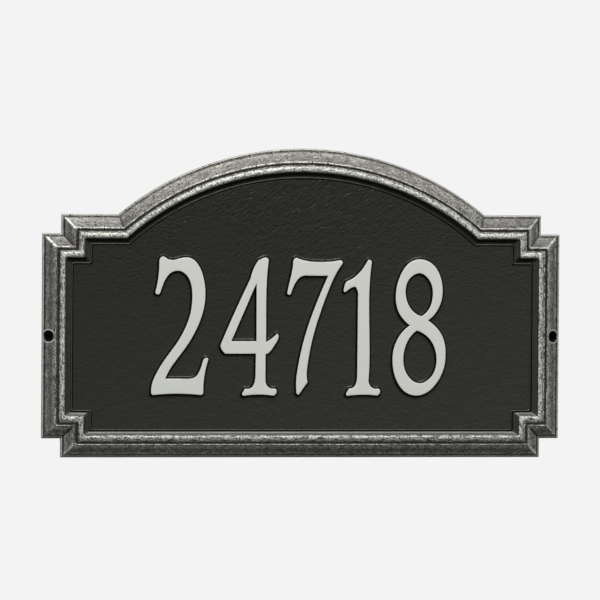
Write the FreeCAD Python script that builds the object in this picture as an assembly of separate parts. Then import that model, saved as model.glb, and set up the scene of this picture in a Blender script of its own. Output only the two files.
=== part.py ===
"""House number plaque, sand cast in one piece with a moulded border and raised numerals.

Millimetres. x runs along the width, z is up, and the wall is the plane y = 0 with the front
facing -y. The origin lies on the wall, midway between the two screw holes.
"""
import FreeCAD, Part
import math
import os

Vector = FreeCAD.Vector

# Outline seen from the front
WIDTH = 400.0
SHOULDER_HEIGHT = 186.0
SHOULDER_FLAT = 43.9
ARCH_RISE = 50.6
CORNER_STEP = 14.6

# Edge and border, named from the outer edge inwards; heights are above the wall
EDGE_ROUND = 0.6
LAND_WIDTH = 1.5
LAND_HEIGHT = 3.0
CREVICE_WIDTH = 0.6
CREVICE_DEPTH = 0.5
SLOPE_WIDTH = 7.6
SLOPE_HOLLOW = 0.35
RIDGE_WIDTH = 0.8
RIDGE_HEIGHT = 8.3
GROOVE_WIDTH = 2.1
GROOVE_DEPTH = 1.2
BEAD_RADIUS = 2.4
BEAD_HEIGHT = 9.5
COVE_WIDTH = 4.2
FILLET_WIDTH = 1.5
FILLET_RISE = 0.75
FIELD_HEIGHT = 6.1

# Numerals
HOUSE_NUMBER = ("two", "four", "seven", "one", "eight")
NUMERAL_HEIGHT = 104.2
NUMERAL_BASELINE = 48.1
NUMERAL_GAP = 9.5
NUMBER_OFFSET = -2.8
NUMERAL_RELIEF = 3.0
NUMERAL_DRAFT = 1.4
NUMERAL_ROOT = 1.0

# Hollow back
RIM_WIDTH = 14.0
RECESS_DEPTH = 2.2
RECESS_DRAFT = 1.0

# Screw holes, each at the floor of an oval pocket
HOLE_INSET = 4.8
HOLE_HEIGHT = 93.0
HOLE_DIAMETER = 5.2
POCKET_WIDTH = 7.2
POCKET_STRAIGHT = 2.0
POCKET_FLOOR = 2.4

# How finely the curved stretches of the border's section are divided
BEAD_STEPS = 8
BEAD_END_ANGLE = 28.0
SLOPE_STEPS = 3
FILLET_STEPS = 4

# Height of the grid on which the numerals are drawn
NUMERAL_GRID = 105.0

BOTTOM = -HOLE_HEIGHT
SHOULDER = BOTTOM + SHOULDER_HEIGHT
ARCH_FOOT = WIDTH / 2 - CORNER_STEP - SHOULDER_FLAT
ARCH_RADIUS = (ARCH_FOOT ** 2 + ARCH_RISE ** 2) / (2 * ARCH_RISE)
ARCH_CENTRE = SHOULDER + ARCH_RISE - ARCH_RADIUS


def ring(inset, height):
    """The plaque's outline moved inwards with mitred corners, at a height above the wall."""
    side = WIDTH / 2 - inset
    stepped_side = side - CORNER_STEP
    bottom = BOTTOM + inset
    lower_ear = bottom + CORNER_STEP
    shoulder = SHOULDER - inset
    upper_ear = shoulder - CORNER_STEP
    radius = ARCH_RADIUS - inset
    arch_foot = math.sqrt(radius ** 2 - (shoulder - ARCH_CENTRE) ** 2)
    right = [
        (stepped_side, bottom),
        (stepped_side, lower_ear),
        (side, lower_ear),
        (side, upper_ear),
        (stepped_side, upper_ear),
        (stepped_side, shoulder),
        (arch_foot, shoulder),
    ]
    left = [(-x, z) for x, z in reversed(right)]
    right = [Vector(x, -height, z) for x, z in right]
    left = [Vector(x, -height, z) for x, z in left]
    crown = Vector(0, -height, ARCH_CENTRE + radius)
    edges = Part.makePolygon(right).Edges
    edges.append(Part.Arc(right[-1], crown, left[0]).toShape())
    edges += Part.makePolygon(left + right[:1]).Edges
    return Part.Wire(edges)


def border_section():
    """The section from the hollow back, round the edge and over the border to the field."""
    back = [
        (RIM_WIDTH + RECESS_DRAFT, RECESS_DEPTH),
        (RIM_WIDTH, 0.0),
        (0.0, 0.0),
        (0.0, LAND_HEIGHT - EDGE_ROUND),
        (EDGE_ROUND, LAND_HEIGHT),
        (LAND_WIDTH, LAND_HEIGHT),
    ]
    crevice = (LAND_WIDTH + CREVICE_WIDTH / 2, LAND_HEIGHT - CREVICE_DEPTH)
    slope_start = LAND_WIDTH + CREVICE_WIDTH
    slope = []
    for step in range(SLOPE_STEPS + 1):
        share = step / SLOPE_STEPS
        sag = SLOPE_HOLLOW * 4 * share * (1 - share)
        height = LAND_HEIGHT + share * (RIDGE_HEIGHT - LAND_HEIGHT) - sag
        slope.append((slope_start + share * SLOPE_WIDTH, height))
    ridge_end = slope_start + SLOPE_WIDTH + RIDGE_WIDTH
    groove_end = ridge_end + GROOVE_WIDTH
    groove_floor = RIDGE_HEIGHT - GROOVE_DEPTH
    groove = [(ridge_end, RIDGE_HEIGHT), ((ridge_end + groove_end) / 2, groove_floor)]
    bead = []
    for step in range(BEAD_STEPS + 1):
        angle = math.radians(180 + (BEAD_END_ANGLE - 180) * step / BEAD_STEPS)
        across = groove_end + BEAD_RADIUS + BEAD_RADIUS * math.cos(angle)
        bead.append((across, BEAD_HEIGHT - BEAD_RADIUS + BEAD_RADIUS * math.sin(angle)))
    cove_end = bead[-1][0] + COVE_WIDTH
    fillet = []
    for step in range(FILLET_STEPS + 1):
        share = step / FILLET_STEPS
        height = FIELD_HEIGHT + FILLET_RISE * math.sin(math.pi * share)
        fillet.append((cove_end + share * FILLET_WIDTH, height))
    return back + [crevice] + slope + groove + bead + fillet


def band(start, end):
    """The faces between two rings: flat along the straight sides and ruled along the arch."""
    faces = []
    for first, second in zip(start.Edges, end.Edges):
        corners = [vertex.Point for vertex in first.Vertexes + second.Vertexes[::-1]]
        if isinstance(first.Curve, Part.Line):
            faces.append(Part.Face(Part.makePolygon(corners + corners[:1])))
        else:
            faces.append(Part.makeRuledSurface(first, second))
    return faces


def plate():
    """The cast plate with its moulded border, before the numerals and screw holes."""
    rings = [ring(inset, height) for inset, height in border_section()]
    faces = [Part.Face(rings[0]), Part.Face(rings[-1])]
    for start, end in zip(rings, rings[1:]):
        faces += band(start, end)
    shell = Part.makeShell(faces)
    shell.sewShape()
    return Part.makeSolid(shell)


# Each numeral is an outline on a grid, with its origin at its lower left. Each stroke goes on
# from the end of the one before it: with one point it is straight, with two it is an arc
# through the first to the second, and with more it is a smooth curve through them all.

def foot(left, right, left_reach, right_reach):
    """The bracketed foot under an upright stem, from its left side round to its right."""
    return [
        [(left - 0.2, 14.0)],
        [(left - 0.9, 9.7), (left - 2.2, 6.8), (left - left_reach + 2.3, 4.9)],
        [(left - left_reach + 0.1, 1.2)],
        [(left - left_reach + 0.4, -0.1), (left - left_reach + 1.4, -0.6)],
        [((left + right) / 2, 0.4), (right + right_reach - 2.6, -0.4)],
        [(right + right_reach - 1.3, 0.2), (right + right_reach, 2.8)],
        [(right + right_reach - 0.3, 4.2), (right + right_reach - 1.4, 5.0)],
        [(right + 2.2, 6.2), (right + 0.6, 8.4), (right, 11.6)],
    ]


def numeral_one():
    outer = [
        *foot(11.2, 19.8, 8.9, 9.1),
        [(19.8, 70.0), (20.4, 90.0), (21.7, 102.3)],
        [(21.3, 103.8), (20.0, 104.5), (18.6, 103.8)],
        [(14.0, 96.8), (8.8, 91.4), (2.0, 87.6)],
        [(0.8, 85.0), (0.0, 80.8)],
        [(0.3, 79.8), (1.3, 79.7)],
        [(4.0, 81.7), (6.7, 83.3), (9.2, 83.7)],
        [(10.7, 81.0), (11.2, 76.0)],
    ]
    return outer, []


def numeral_two():
    outer = [
        [(22.5, 1.0), (38.5, 0.0)],
        [(40.0, 0.7), (40.5, 2.5)],
        [(41.6, 16.5), (44.2, 27.0)],
        [(43.4, 28.6), (42.2, 28.5), (40.2, 26.5)],
        [(36.5, 16.5), (34.0, 13.8), (30.0, 12.6), (26.0, 12.5)],
        [(10.9, 12.5)],
        [(14.3, 19.5), (24.7, 34.0), (34.3, 49.5), (40.3, 66.0), (41.6, 76.0), (39.7, 92.0),
         (35.6, 101.0), (31.0, 105.1), (24.5, 105.8), (15.5, 104.0), (11.5, 105.2)],
        [(10.0, 106.3), (8.2, 106.6), (6.5, 105.3), (5.8, 103.0)],
        [(5.6, 95.3), (3.1, 80.0)],
        [(3.2, 78.4), (4.6, 77.6), (6.6, 79.0)],
        [(10.6, 89.1), (15.4, 94.5), (20.5, 95.8), (26.2, 93.2), (30.4, 86.0), (31.6, 75.0),
         (30.2, 62.8), (27.1, 53.5), (20.1, 40.5), (8.4, 24.1), (4.3, 17.0), (0.6, 7.8),
         (0.2, 1.7)],
        [(0.6, 0.5), (1.7, 0.0)],
    ]
    return outer, []


def numeral_four():
    outer = [
        *foot(27.5, 35.0, 10.6, 8.8),
        [(35.0, 31.5)],
        [(38.2, 33.4), (40.8, 36.8), (44.6, 43.4), (45.0, 45.8)],
        [(44.6, 46.9), (43.6, 47.2)],
        [(39.5, 43.6), (35.2, 40.9)],
        [(35.2, 65.0), (35.6, 89.0), (36.9, 103.8)],
        [(36.3, 105.4), (35.0, 106.0), (33.0, 105.7), (29.2, 104.2)],
        [(27.3, 101.3), (23.0, 90.0)],
        [(8.0, 57.4), (0.1, 38.9)],
        [(0.3, 36.5), (1.8, 33.8), (3.6, 32.0)],
        [(27.5, 32.0)],
    ]
    counter = [[(27.9, 41.6)], [(27.7, 86.6)], [(8.3, 41.6)]]
    return outer, [counter]


def numeral_seven():
    outer = [
        [(16.2, 9.8)],
        [(15.6, 17.0), (16.6, 26.0), (18.2, 35.7), (21.5, 49.6), (26.1, 64.3), (33.0, 83.0),
         (39.2, 96.0), (42.6, 101.0)],
        [(43.0, 102.5), (42.4, 103.7), (41.0, 104.1)],
        [(32.4, 102.9), (23.9, 102.8), (14.6, 103.6), (7.7, 105.7)],
        [(6.2, 105.7), (5.1, 104.7), (4.5, 103.0)],
        [(3.3, 93.7), (0.5, 81.4), (0.0, 78.6)],
        [(0.8, 77.6), (3.0, 79.0)],
        [(6.7, 87.4), (10.4, 91.2), (16.0, 92.2)],
        [(31.8, 92.2)],
        [(19.2, 61.2), (12.3, 38.8), (9.2, 24.1), (7.5, 11.5), (7.7, 2.9)],
        [(8.2, 0.8), (9.4, 0.2)],
    ]
    return outer, []


def numeral_eight():
    outer = [
        [(9.3, 50.6), (3.9, 43.4), (0.9, 35.7), (0.0, 28.2), (0.9, 18.5), (4.6, 8.7),
         (11.1, 1.7), (19.0, -0.4), (27.3, 2.2), (35.5, 10.8), (40.0, 20.5), (41.4, 31.5),
         (39.6, 43.6), (33.5, 52.9), (27.5, 57.7)],
        [(34.0, 64.5), (37.6, 72.1), (38.7, 80.0), (37.4, 90.0), (30.6, 101.4), (22.0, 104.9),
         (13.6, 102.8), (6.3, 93.7), (2.2, 77.0), (4.5, 64.3), (8.7, 58.1), (13.7, 53.9)],
    ]
    upper_counter = [
        [(28.3, 66.7), (31.1, 77.0), (28.9, 88.2), (20.5, 94.3), (12.2, 89.2), (9.8, 79.0),
         (13.4, 67.6), (22.3, 60.9)],
    ]
    lower_counter = [
        [(12.6, 43.4), (8.4, 29.5), (12.0, 15.0), (21.0, 9.1), (30.0, 13.8), (34.4, 27.5),
         (31.0, 40.4), (18.8, 49.9)],
    ]
    return outer, [upper_counter, lower_counter]


# Each numeral with how far its left and right neighbours may tuck in under its arms
NUMERALS = {
    "one": (numeral_one, 0.0, 0.0),
    "two": (numeral_two, 0.0, 0.0),
    "four": (numeral_four, 0.0, 1.5),
    "seven": (numeral_seven, 1.5, 8.5),
    "eight": (numeral_eight, 0.0, 0.0),
}


def stroke_curve(start, stroke):
    """A straight line, an arc or a smooth curve from the start through the stroke's points."""
    points = [Vector(x, 0, z) for x, z in [start] + stroke]
    if len(points) == 2:
        return Part.LineSegment(*points)
    if len(points) == 3:
        return Part.Arc(*points)
    curve = Part.BSplineCurve()
    curve.interpolate(points)
    return curve


def stroke_curves(strokes):
    starts = [stroke[-1] for stroke in strokes]
    return [stroke_curve(starts[index - 1], stroke) for index, stroke in enumerate(strokes)]


def turned_out(tangent):
    """The outward side of a direction along an outline that runs anticlockwise."""
    return Vector(tangent.z, 0, -tangent.x).normalize()


def spread(strokes, margin):
    """The same strokes with every point moved out by a margin, and mitred where they meet."""
    curves = stroke_curves(strokes)
    moved = []
    for index, (stroke, curve) in enumerate(zip(strokes, curves)):
        following = curves[(index + 1) % len(curves)]
        start_of_next = turned_out(following.tangent(following.FirstParameter)[0])
        new_stroke = []
        for x, z in stroke:
            point = Vector(x, 0, z)
            normal = turned_out(curve.tangent(curve.parameter(point))[0])
            if (x, z) == stroke[-1]:
                normal = (normal + start_of_next) * (1 / (1 + normal.dot(start_of_next)))
            point = point + normal * margin
            new_stroke.append((point.x, point.z))
        moved.append(new_stroke)
    return moved


def at_size(strokes, left, baseline):
    """Strokes from the grid brought to the numerals' real height and place."""
    scale = NUMERAL_HEIGHT / NUMERAL_GRID
    return [[(left + x * scale, baseline + z * scale) for x, z in stroke] for stroke in strokes]


def stroke_wire(strokes, height):
    wire = Part.Wire([curve.toShape() for curve in stroke_curves(strokes)])
    wire.translate(Vector(0, -height, 0))
    return wire


def drafted(strokes, margin):
    """A solid from the plate up to the numeral's face, wider by a margin at its root."""
    base = stroke_wire(spread(strokes, margin), FIELD_HEIGHT - NUMERAL_ROOT)
    face = stroke_wire(strokes, FIELD_HEIGHT + NUMERAL_RELIEF)
    return Part.makeLoft([base, face], True, True)


def numeral_solid(digit, left):
    """A raised numeral with drafted walls, rooted in the plate below the field."""
    outer, counters = NUMERALS[digit][0]()
    baseline = BOTTOM + NUMERAL_BASELINE
    root_spread = NUMERAL_DRAFT * (NUMERAL_RELIEF + NUMERAL_ROOT) / NUMERAL_RELIEF
    solid = drafted(at_size(outer, left, baseline), root_spread)
    for counter in counters:
        solid = solid.cut(drafted(at_size(counter, left, baseline), -root_spread))
    return solid


def numeral_width(digit):
    outer, _ = NUMERALS[digit][0]()
    return stroke_wire(at_size(outer, 0, 0), 0).optimalBoundingBox().XMax


def numeral_places(number):
    """The left edge of each numeral; the number sits a little off the plaque's centre."""
    places = []
    cursor = 0.0
    tuck_before = 0.0
    for digit in number:
        _, left_tuck, right_tuck = NUMERALS[digit]
        if places:
            cursor += NUMERAL_GAP - tuck_before - left_tuck
        places.append(cursor)
        cursor += numeral_width(digit)
        tuck_before = right_tuck
    return [place - cursor / 2 + NUMBER_OFFSET for place in places]


def screw_hole(x):
    """What is cut away for one screw: an oval pocket from the front and a round hole."""
    front = Vector(0, -1, 0)
    hole = Part.makeCylinder(HOLE_DIAMETER / 2, BEAD_HEIGHT, Vector(x, 0, 0), front)
    radius = POCKET_WIDTH / 2
    upper = Vector(x, -POCKET_FLOOR, POCKET_STRAIGHT / 2)
    lower = Vector(x, -POCKET_FLOOR, -POCKET_STRAIGHT / 2)
    side = Vector(radius, 0, 0)
    end = Vector(0, 0, radius)
    oval = Part.Wire([
        Part.Arc(upper + side, upper + end, upper - side).toShape(),
        Part.makeLine(upper - side, lower - side),
        Part.Arc(lower - side, lower - end, lower + side).toShape(),
        Part.makeLine(lower + side, upper + side),
    ])
    pocket = Part.Face(oval).extrude(front * BEAD_HEIGHT)
    return hole.fuse(pocket)


def plaque():
    solid = plate()
    numerals = [
        numeral_solid(digit, left)
        for digit, left in zip(HOUSE_NUMBER, numeral_places(HOUSE_NUMBER))
    ]
    hole_x = WIDTH / 2 - HOLE_INSET
    return solid.fuse(numerals).cut([screw_hole(-hole_x), screw_hole(hole_x)])


def main():
    os.makedirs("parts", exist_ok=True)
    solid = plaque()
    solid.exportStep("parts/plaque.step")
    print("plaque", "valid", solid.isValid(), "solids", len(solid.Solids),
          "volume", round(solid.Volume), "faces", len(solid.Faces))
    print("arch radius", round(ARCH_RADIUS, 1), "hole spacing", WIDTH - 2 * HOLE_INSET)


main()
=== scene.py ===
"""The looks of the house number plaque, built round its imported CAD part.

Shapes are worked out in millimetres and turned to metres when the mesh is made. x runs along
the width, z is up and the front faces -y, as in the CAD part.
"""

import math

import bpy
import numpy as np
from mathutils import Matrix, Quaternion, Vector, noise
from mathutils.geometry import delaunay_2d_cdt
from mathutils.kdtree import KDTree


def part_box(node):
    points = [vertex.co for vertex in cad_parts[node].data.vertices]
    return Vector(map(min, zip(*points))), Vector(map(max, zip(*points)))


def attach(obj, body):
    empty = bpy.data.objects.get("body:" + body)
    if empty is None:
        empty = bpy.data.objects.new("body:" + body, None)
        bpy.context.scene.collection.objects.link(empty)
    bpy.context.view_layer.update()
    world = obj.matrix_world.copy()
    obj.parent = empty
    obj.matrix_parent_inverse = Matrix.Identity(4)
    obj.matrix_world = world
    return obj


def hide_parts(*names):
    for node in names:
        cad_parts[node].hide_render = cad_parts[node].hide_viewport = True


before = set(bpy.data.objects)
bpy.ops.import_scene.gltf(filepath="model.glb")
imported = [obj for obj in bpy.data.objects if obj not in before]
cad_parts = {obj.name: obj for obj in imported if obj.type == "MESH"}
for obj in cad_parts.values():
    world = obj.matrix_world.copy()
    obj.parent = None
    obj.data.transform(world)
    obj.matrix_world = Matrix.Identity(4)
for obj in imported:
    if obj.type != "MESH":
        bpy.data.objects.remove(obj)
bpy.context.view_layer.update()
MM = 0.001

# Outline
HALF_WIDTH = 200.0
BOTTOM = -93.0
SHOULDER = 93.0
SHOULDER_FLAT = 43.9
ARCH_RISE = 50.6
CORNER_STEP = 14.6
ARCH_FOOT = HALF_WIDTH - CORNER_STEP - SHOULDER_FLAT
ARCH_RADIUS = (ARCH_FOOT ** 2 + ARCH_RISE ** 2) / (2 * ARCH_RISE)
ARCH_CENTRE = SHOULDER + ARCH_RISE - ARCH_RADIUS
# Corners are counted anticlockwise from the lower right, and the arch joins these two
RIGHT_FOOT = 6
LEFT_FOOT = 7
# Those of the right half that point outwards
CONVEX_CORNERS = (0, 2, 3, 5)

# Border section
BACK_RIM = 14.0
RECESS_DEPTH = 2.2
# The coat value of a point is its inset on the front, and one of these elsewhere
RECESS_COAT = -3.0
BACK_COAT = -2.0
EDGE_COAT = -0.6
FIELD_COAT = 30.0
SLOPE_START = (2.1, 3.0)
SLOPE_END = (9.7, 8.3)
SLOPE_HOLLOW = 0.35
SLOPE_STEPS = 8
BEAD_CENTRE = (15.0, 7.1)
BEAD_RADIUS = 2.4
BEAD_LEAN = 0.55
BEAD_STEPS = 13
BEAD_END_ANGLE = 28.0
COVE_END = 21.32
FILLET_WIDTH = 1.5
FILLET_RISE = 0.75
FILLET_STEPS = 6
FOOT_WIDTH = 0.6
FIELD_START = COVE_END + FILLET_WIDTH + FOOT_WIDTH
FIELD_HEIGHT = 6.1
# How far the casting strays from an even border, as (inset, shift)
SIDE_SHIFTS = ((18.0, 0.0), (21.0, 0.4))
BOTTOM_SHIFTS = ((18.0, 0.0), (21.0, 0.7))
SHOULDER_SHIFTS = ((4.0, 0.0), (9.0, 0.5))
ARCH_SHIFTS = ((4.0, 0.0), (9.0, 0.4), (10.5, 0.4), (12.3, 0.0), (21.0, 0.05))

# Numerals
HOUSE_NUMBER = ("two", "four", "seven", "one", "eight")
NUMERAL_SCALE = 104.2 / 105.0
NUMERAL_BASELINE = 48.1
NUMERAL_GAP = 9.5
NUMBER_OFFSET = -2.8
NUMERAL_RELIEF = 3.0

# Screw holes
HOLE_X = 195.2
HOLE_RADIUS = 2.6
POCKET_RADIUS = 3.6
POCKET_STRAIGHT = 1.0
POCKET_FLOOR = 2.4
HOLE_SIDES = 56
CUT_BOTTOM = -1.0
CUT_TOP = 12.0

# Fineness of the mesh
ALONG_SPACING = 1.7
CORNER_POINTS = 6
OUTLINE_SPACING = 0.75
SPLINE_STEPS = 24
ARC_STEPS = 48
POINT_TURN = 14.0
FAN_TURN = math.radians(25)
FIELD_SPACING = 2.0
ARCH_FIELD_SPACING = 1.3
ARCH_FIELD_START = 65.0
BACK_SPACING = 6.0
LATTICE_TOP = 145.0
LATTICE_GAP = 0.7


# Border

def stray(inset, shifts):
    return np.interp(inset, *zip(*shifts))


def outline_sizes(inset):
    """Where the sides of the outline lie once it is moved inwards."""
    side = HALF_WIDTH - inset - stray(inset, SIDE_SHIFTS)
    bottom = BOTTOM + inset - stray(inset, BOTTOM_SHIFTS)
    shoulder = SHOULDER - inset - stray(inset, SHOULDER_SHIFTS)
    radius = ARCH_RADIUS - inset - stray(inset, ARCH_SHIFTS)
    arch_foot = math.sqrt(radius ** 2 - (shoulder - ARCH_CENTRE) ** 2)
    return side, bottom, shoulder, radius, arch_foot


def unit(vector):
    return vector / np.linalg.norm(vector)


def outline_corners(inset):
    """The corners anticlockwise from the lower right, each with the way in and the way out."""
    side, bottom, shoulder, radius, arch_foot = outline_sizes(inset)
    stepped = side - CORNER_STEP
    right = [
        (stepped, bottom),
        (stepped, bottom + CORNER_STEP),
        (side, bottom + CORNER_STEP),
        (side, shoulder - CORNER_STEP),
        (stepped, shoulder - CORNER_STEP),
        (stepped, shoulder),
        (arch_foot, shoulder),
    ]
    points = [np.array(p) for p in right + [(-x, z) for x, z in reversed(right)]]
    rise = np.array([-(shoulder - ARCH_CENTRE), arch_foot]) / radius
    corners = []
    for index, point in enumerate(points):
        way_in = unit(point - points[index - 1])
        way_out = unit(points[(index + 1) % len(points)] - point)
        if index == RIGHT_FOOT:
            way_out = rise
        if index == LEFT_FOOT:
            way_in = rise * (1, -1)
        corners.append((point, way_in, way_out))
    return corners


def rounded_corner(point, way_in, way_out, radius):
    """Points on a small arc in place of a sharp corner."""
    turn = math.atan2(way_in[0] * way_out[1] - way_in[1] * way_out[0], way_in @ way_out)
    reach = radius * math.tan(abs(turn) / 2)
    sideways = np.array([-way_in[1], way_in[0]]) * math.copysign(1, turn)
    points = []
    for step in range(CORNER_POINTS):
        angle = abs(turn) * step / (CORNER_POINTS - 1)
        along = radius * math.sin(angle) - reach
        points.append(point + way_in * along + sideways * radius * (1 - math.cos(angle)))
    return points


def stretch_counts():
    """How many points lie between each corner and the next, counted on the outer edge."""
    corners = [corner for corner, _, _ in outline_corners(0.0)]
    counts = []
    for index, corner in enumerate(corners):
        following = corners[(index + 1) % len(corners)]
        length = np.linalg.norm(following - corner)
        if index == RIGHT_FOOT:
            length = 2 * ARCH_RADIUS * math.asin(ARCH_FOOT / ARCH_RADIUS)
        counts.append(round(length / ALONG_SPACING))
    return counts


def ring(inset, radius):
    """The outline moved inwards, as points that lie opposite each other on every ring."""
    corners = outline_corners(inset)
    _, _, shoulder, arch_radius, arch_foot = outline_sizes(inset)
    arcs = [rounded_corner(*corner, radius) for corner in corners]
    points = []
    for index, (arc, count) in enumerate(zip(arcs, STRETCH_COUNTS)):
        points += arc
        end = arcs[(index + 1) % len(arcs)][0]
        shares = [(step + 1) / (count + 1) for step in range(count)]
        if index == RIGHT_FOOT:
            first = math.atan2(arc[-1][1] - ARCH_CENTRE, arc[-1][0])
            for share in shares:
                angle = first + share * (math.pi - 2 * first)
                points.append(np.array([
                    arch_radius * math.cos(angle),
                    ARCH_CENTRE + arch_radius * math.sin(angle),
                ]))
        else:
            points += [arc[-1] + (end - arc[-1]) * share for share in shares]
    return np.array(points)


def ring_marks():
    """For each point of a ring: its distance from the nearest corner, whether that corner points
    outwards (1) or inwards (-1), the way along and the two parts of the way outwards.
    """
    points = ring(0.0, radius=0.5)
    corners = outline_corners(0.0)
    marks = []
    along = 0.0
    for index, point in enumerate(points):
        if index:
            along += np.linalg.norm(point - points[index - 1])
        way = unit(points[(index + 1) % len(points)] - points[index - 1])
        distances = [np.linalg.norm(point - corner) for corner, _, _ in corners]
        nearest = int(np.argmin(distances))
        convex = min(nearest, len(corners) - 1 - nearest) in CONVEX_CORNERS
        marks.append((distances[nearest], 1.0 if convex else -1.0, along, way[1], -way[0]))
    return np.array(marks)


def border_section():
    """(inset, height, corner radius, coat value) from the hollow back round to the field."""
    section = []

    def add(points, radius, coat=None):
        for inset, height in points:
            section.append((inset, height, radius, inset if coat is None else coat))

    add((
        (BACK_RIM + 2.5, RECESS_DEPTH), (BACK_RIM + 1.5, RECESS_DEPTH),
        (BACK_RIM + 0.9, RECESS_DEPTH - 0.25),
    ), 1.5, RECESS_COAT)
    add(((BACK_RIM + 0.1, 0.2), (BACK_RIM - 0.3, 0.0), (BACK_RIM - 1.2, 0.0)), 1.5, BACK_COAT)
    add(((1.3, 0.0), (0.5, 0.0), (0.1, 0.15), (0.0, 0.5)), 0.8, BACK_COAT)
    add([(0.0, 2.3)], 0.8, EDGE_COAT)
    add([(0.12, 2.7)], 0.8, 0.0)
    add([(0.42, 2.95)], 0.7)
    add([(0.85, 3.0)], 0.6)
    add(((1.3, 2.98), (1.55, 2.8), (1.72, 2.5), (1.9, 2.5), (2.04, 2.8)), 0.5)
    for step in range(SLOPE_STEPS + 1):
        share = step / SLOPE_STEPS
        inset = SLOPE_START[0] + share * (SLOPE_END[0] - SLOPE_START[0])
        height = SLOPE_START[1] + share * (SLOPE_END[1] - SLOPE_START[1])
        add([(inset, height - SLOPE_HOLLOW * 4 * share * (1 - share))], 0.5 + 0.7 * share)
    add((
        (9.95, 8.33), (10.3, 8.3), (10.55, 8.1), (10.85, 7.5), (11.2, 7.14), (11.65, 7.06),
        (12.3, 7.08),
    ), 1.4)
    for step in range(BEAD_STEPS + 1):
        angle = math.radians(180 + (BEAD_END_ANGLE - 180) * step / BEAD_STEPS)
        inset = BEAD_CENTRE[0] + BEAD_RADIUS * math.cos(angle) + BEAD_LEAN * math.sin(angle) ** 2
        add([(inset, BEAD_CENTRE[1] + BEAD_RADIUS * math.sin(angle))], 1.6)
    add((
        (17.5, 7.83), (18.0, 7.45), (18.5, 7.15), (19.0, 6.87), (19.5, 6.62), (19.9, 6.43),
        (20.3, 6.29), (20.7, 6.18), (21.1, 6.1),
    ), 1.5)
    for step in range(FILLET_STEPS + 1):
        share = step / FILLET_STEPS
        rise = FILLET_RISE * math.sin(math.pi * share) ** 0.7
        add([(COVE_END + share * FILLET_WIDTH, FIELD_HEIGHT + rise)], 1.5)
    add([(FIELD_START - FOOT_WIDTH / 2, FIELD_HEIGHT), (FIELD_START, FIELD_HEIGHT)], 1.5)
    return section


STRETCH_COUNTS = stretch_counts()


# Numerals

# Each numeral is an outline in mm, with its origin at its lower left. Each stroke goes on
# from the end of the one before it: with one point it is straight, with two it is an arc
# through the first to the second, and with more it is a smooth curve through them all.

def foot(left, right, left_reach, right_reach):
    """The bracketed foot under an upright stem, from its left side round to its right."""
    return [
        [(left - 0.2, 14.0)],
        [(left - 0.9, 9.7), (left - 2.2, 6.8), (left - left_reach + 2.3, 4.9)],
        [(left - left_reach + 0.1, 1.2)],
        [(left - left_reach + 0.4, -0.1), (left - left_reach + 1.4, -0.6)],
        [((left + right) / 2, 0.4), (right + right_reach - 2.6, -0.4)],
        [(right + right_reach - 1.3, 0.2), (right + right_reach, 2.8)],
        [(right + right_reach - 0.3, 4.2), (right + right_reach - 1.4, 5.0)],
        [(right + 2.2, 6.2), (right + 0.6, 8.4), (right, 11.6)],
    ]


def numeral_one():
    outer = [
        *foot(11.2, 19.8, 8.9, 9.1),
        [(19.8, 70.0), (20.4, 90.0), (21.7, 102.3)],
        [(21.3, 103.8), (20.0, 104.5), (18.6, 103.8)],
        [(14.0, 96.8), (8.8, 91.4), (2.0, 87.6)],
        [(0.8, 85.0), (0.0, 80.8)],
        [(0.3, 79.8), (1.3, 79.7)],
        [(4.0, 81.7), (6.7, 83.3), (9.2, 83.7)],
        [(10.7, 81.0), (11.2, 76.0)],
    ]
    return outer, []


def numeral_two():
    outer = [
        [(22.5, 1.0), (38.5, 0.0)],
        [(40.0, 0.7), (40.5, 2.5)],
        [(41.6, 16.5), (44.2, 27.0)],
        [(43.4, 28.6), (42.2, 28.5), (40.2, 26.5)],
        [(36.5, 16.5), (34.0, 13.8), (30.0, 12.6), (26.0, 12.5)],
        [(10.9, 12.5)],
        [(14.3, 19.5), (24.7, 34.0), (34.3, 49.5), (40.3, 66.0), (41.6, 76.0), (39.7, 92.0),
         (35.6, 101.0), (31.0, 105.1), (24.5, 105.8), (15.5, 104.0), (11.5, 105.2)],
        [(10.0, 106.3), (8.2, 106.6), (6.5, 105.3), (5.8, 103.0)],
        [(5.6, 95.3), (3.1, 80.0)],
        [(3.2, 78.4), (4.6, 77.6), (6.6, 79.0)],
        [(10.6, 89.1), (15.4, 94.5), (20.5, 95.8), (26.2, 93.2), (30.4, 86.0), (31.6, 75.0),
         (30.2, 62.8), (27.1, 53.5), (20.1, 40.5), (8.4, 24.1), (4.3, 17.0), (0.6, 7.8),
         (0.2, 1.7)],
        [(0.6, 0.5), (1.7, 0.0)],
    ]
    return outer, []


def numeral_four():
    outer = [
        *foot(27.5, 35.0, 10.6, 8.8),
        [(35.0, 31.5)],
        [(38.2, 33.4), (40.8, 36.8), (44.6, 43.4), (45.0, 45.8)],
        [(44.6, 46.9), (43.6, 47.2)],
        [(39.5, 43.6), (35.2, 40.9)],
        [(35.2, 65.0), (35.6, 89.0), (36.9, 103.8)],
        [(36.3, 105.4), (35.0, 106.0), (33.0, 105.7), (29.2, 104.2)],
        [(27.3, 101.3), (23.0, 90.0)],
        [(8.0, 57.4), (0.1, 38.9)],
        [(0.3, 36.5), (1.8, 33.8), (3.6, 32.0)],
        [(27.5, 32.0)],
    ]
    counter = [[(27.9, 41.6)], [(27.7, 86.6)], [(8.3, 41.6)]]
    return outer, [counter]


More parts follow.
